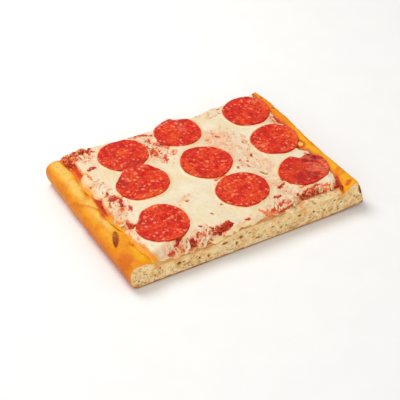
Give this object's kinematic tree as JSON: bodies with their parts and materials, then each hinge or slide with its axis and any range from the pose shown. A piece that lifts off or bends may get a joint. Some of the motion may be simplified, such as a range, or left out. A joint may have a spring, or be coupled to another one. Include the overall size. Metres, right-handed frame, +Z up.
{
  "type": "pepperoni pizza slice",
  "caption": "Rectangular slice of thick pan pizza with baked rims at both ends, cut front and back, under sauce, melted cheese and round pepperoni.",
  "frame": {"origin": "middle of the bounding box seen from above, on the flat bottom that the slice lies on", "axes": "+Z up through the toppings; +X from the broad baked rim to the narrow one, the longest side; -Y towards the front cut"},
  "size_m": [0.22, 0.1572, 0.0297],
  "materials": {
    "baked_dough": "matte baked bread, golden crust and pale porous crumb",
    "tomato_sauce": "moist, glossy, a little lumpy",
    "melted_cheese": "soft satin, slightly translucent",
    "pepperoni": "oily satin with pale flecks of fat"
  },
  "bodies": {
    "root": {"dough": "baked_dough", "sauce": "tomato_sauce", "cheese": "melted_cheese", "pepperoni_1": "pepperoni", "pepperoni_2": "pepperoni", "pepperoni_3": "pepperoni", "pepperoni_4": "pepperoni", "pepperoni_5": "pepperoni", "pepperoni_6": "pepperoni", "pepperoni_7": "pepperoni", "pepperoni_8": "pepperoni", "pepperoni_9": "pepperoni"}
  },
  "joints": []
}
